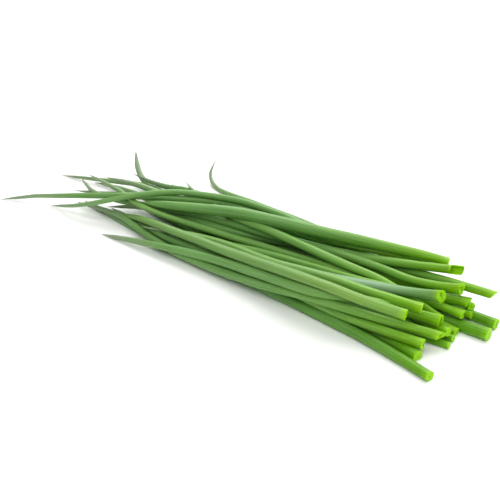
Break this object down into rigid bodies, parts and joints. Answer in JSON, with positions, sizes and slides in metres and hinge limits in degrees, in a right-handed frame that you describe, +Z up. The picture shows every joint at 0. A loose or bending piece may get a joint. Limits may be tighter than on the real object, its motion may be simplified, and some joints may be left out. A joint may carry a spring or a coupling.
{
  "type": "bunch of chives",
  "caption": "Loose bunch of cut chives lying on a surface: round hollow green leaves, cut ends together at one end and pointed tips fanned out at the other.",
  "frame": {"origin": "centre of the bunch's bounding box, on the surface that it lies on", "axes": "+X along the bunch towards the cut ends, the tips at -X; +Y across it, away from the viewer of the picture; +Z up from the surface"},
  "size_m": [0.2716, 0.1056, 0.0221],
  "materials": {
    "chive_deep": "satin",
    "chive_mid": "satin",
    "chive_bright": "satin",
    "chive_bloomed": "satin",
    "chive_pale": "satin"
  },
  "bodies": {
    "root": {"leaf_01_front_edge": "chive_deep", "leaf_02_front_short": "chive_deep", "leaf_03_floor_thin": "chive_deep", "leaf_04_floor_middle": "chive_deep", "leaf_05_floor_stout": "chive_deep", "leaf_06_floor_far": "chive_deep", "leaf_07_floor_back": "chive_deep", "leaf_08_curled_up": "chive_mid", "leaf_09_heart": "chive_mid", "leaf_10_heart_slim": "chive_mid", "leaf_11_heart_stout": "chive_bright", "leaf_12_heart_long": "chive_mid", "leaf_13_front_second": "chive_mid", "leaf_14_front_third": "chive_mid", "leaf_15_back_middle": "chive_mid", "leaf_16_back_slope": "chive_deep", "leaf_17_hooked_tip": "chive_mid", "leaf_18_front_stray": "chive_mid", "leaf_19_hollow_end": "chive_mid", "leaf_20_torn_end": "chive_mid", "leaf_21_bright": "chive_bright", "leaf_22_crossing": "chive_bright", "leaf_23_slim": "chive_bright", "leaf_24_flattened": "chive_bloomed", "leaf_25_stout": "chive_bright", "leaf_26_broad_top": "chive_pale", "leaf_27_far_reaching": "chive_mid", "leaf_28_top_slim": "chive_mid", "leaf_29_ridge": "chive_mid"}
  },
  "joints": []
}
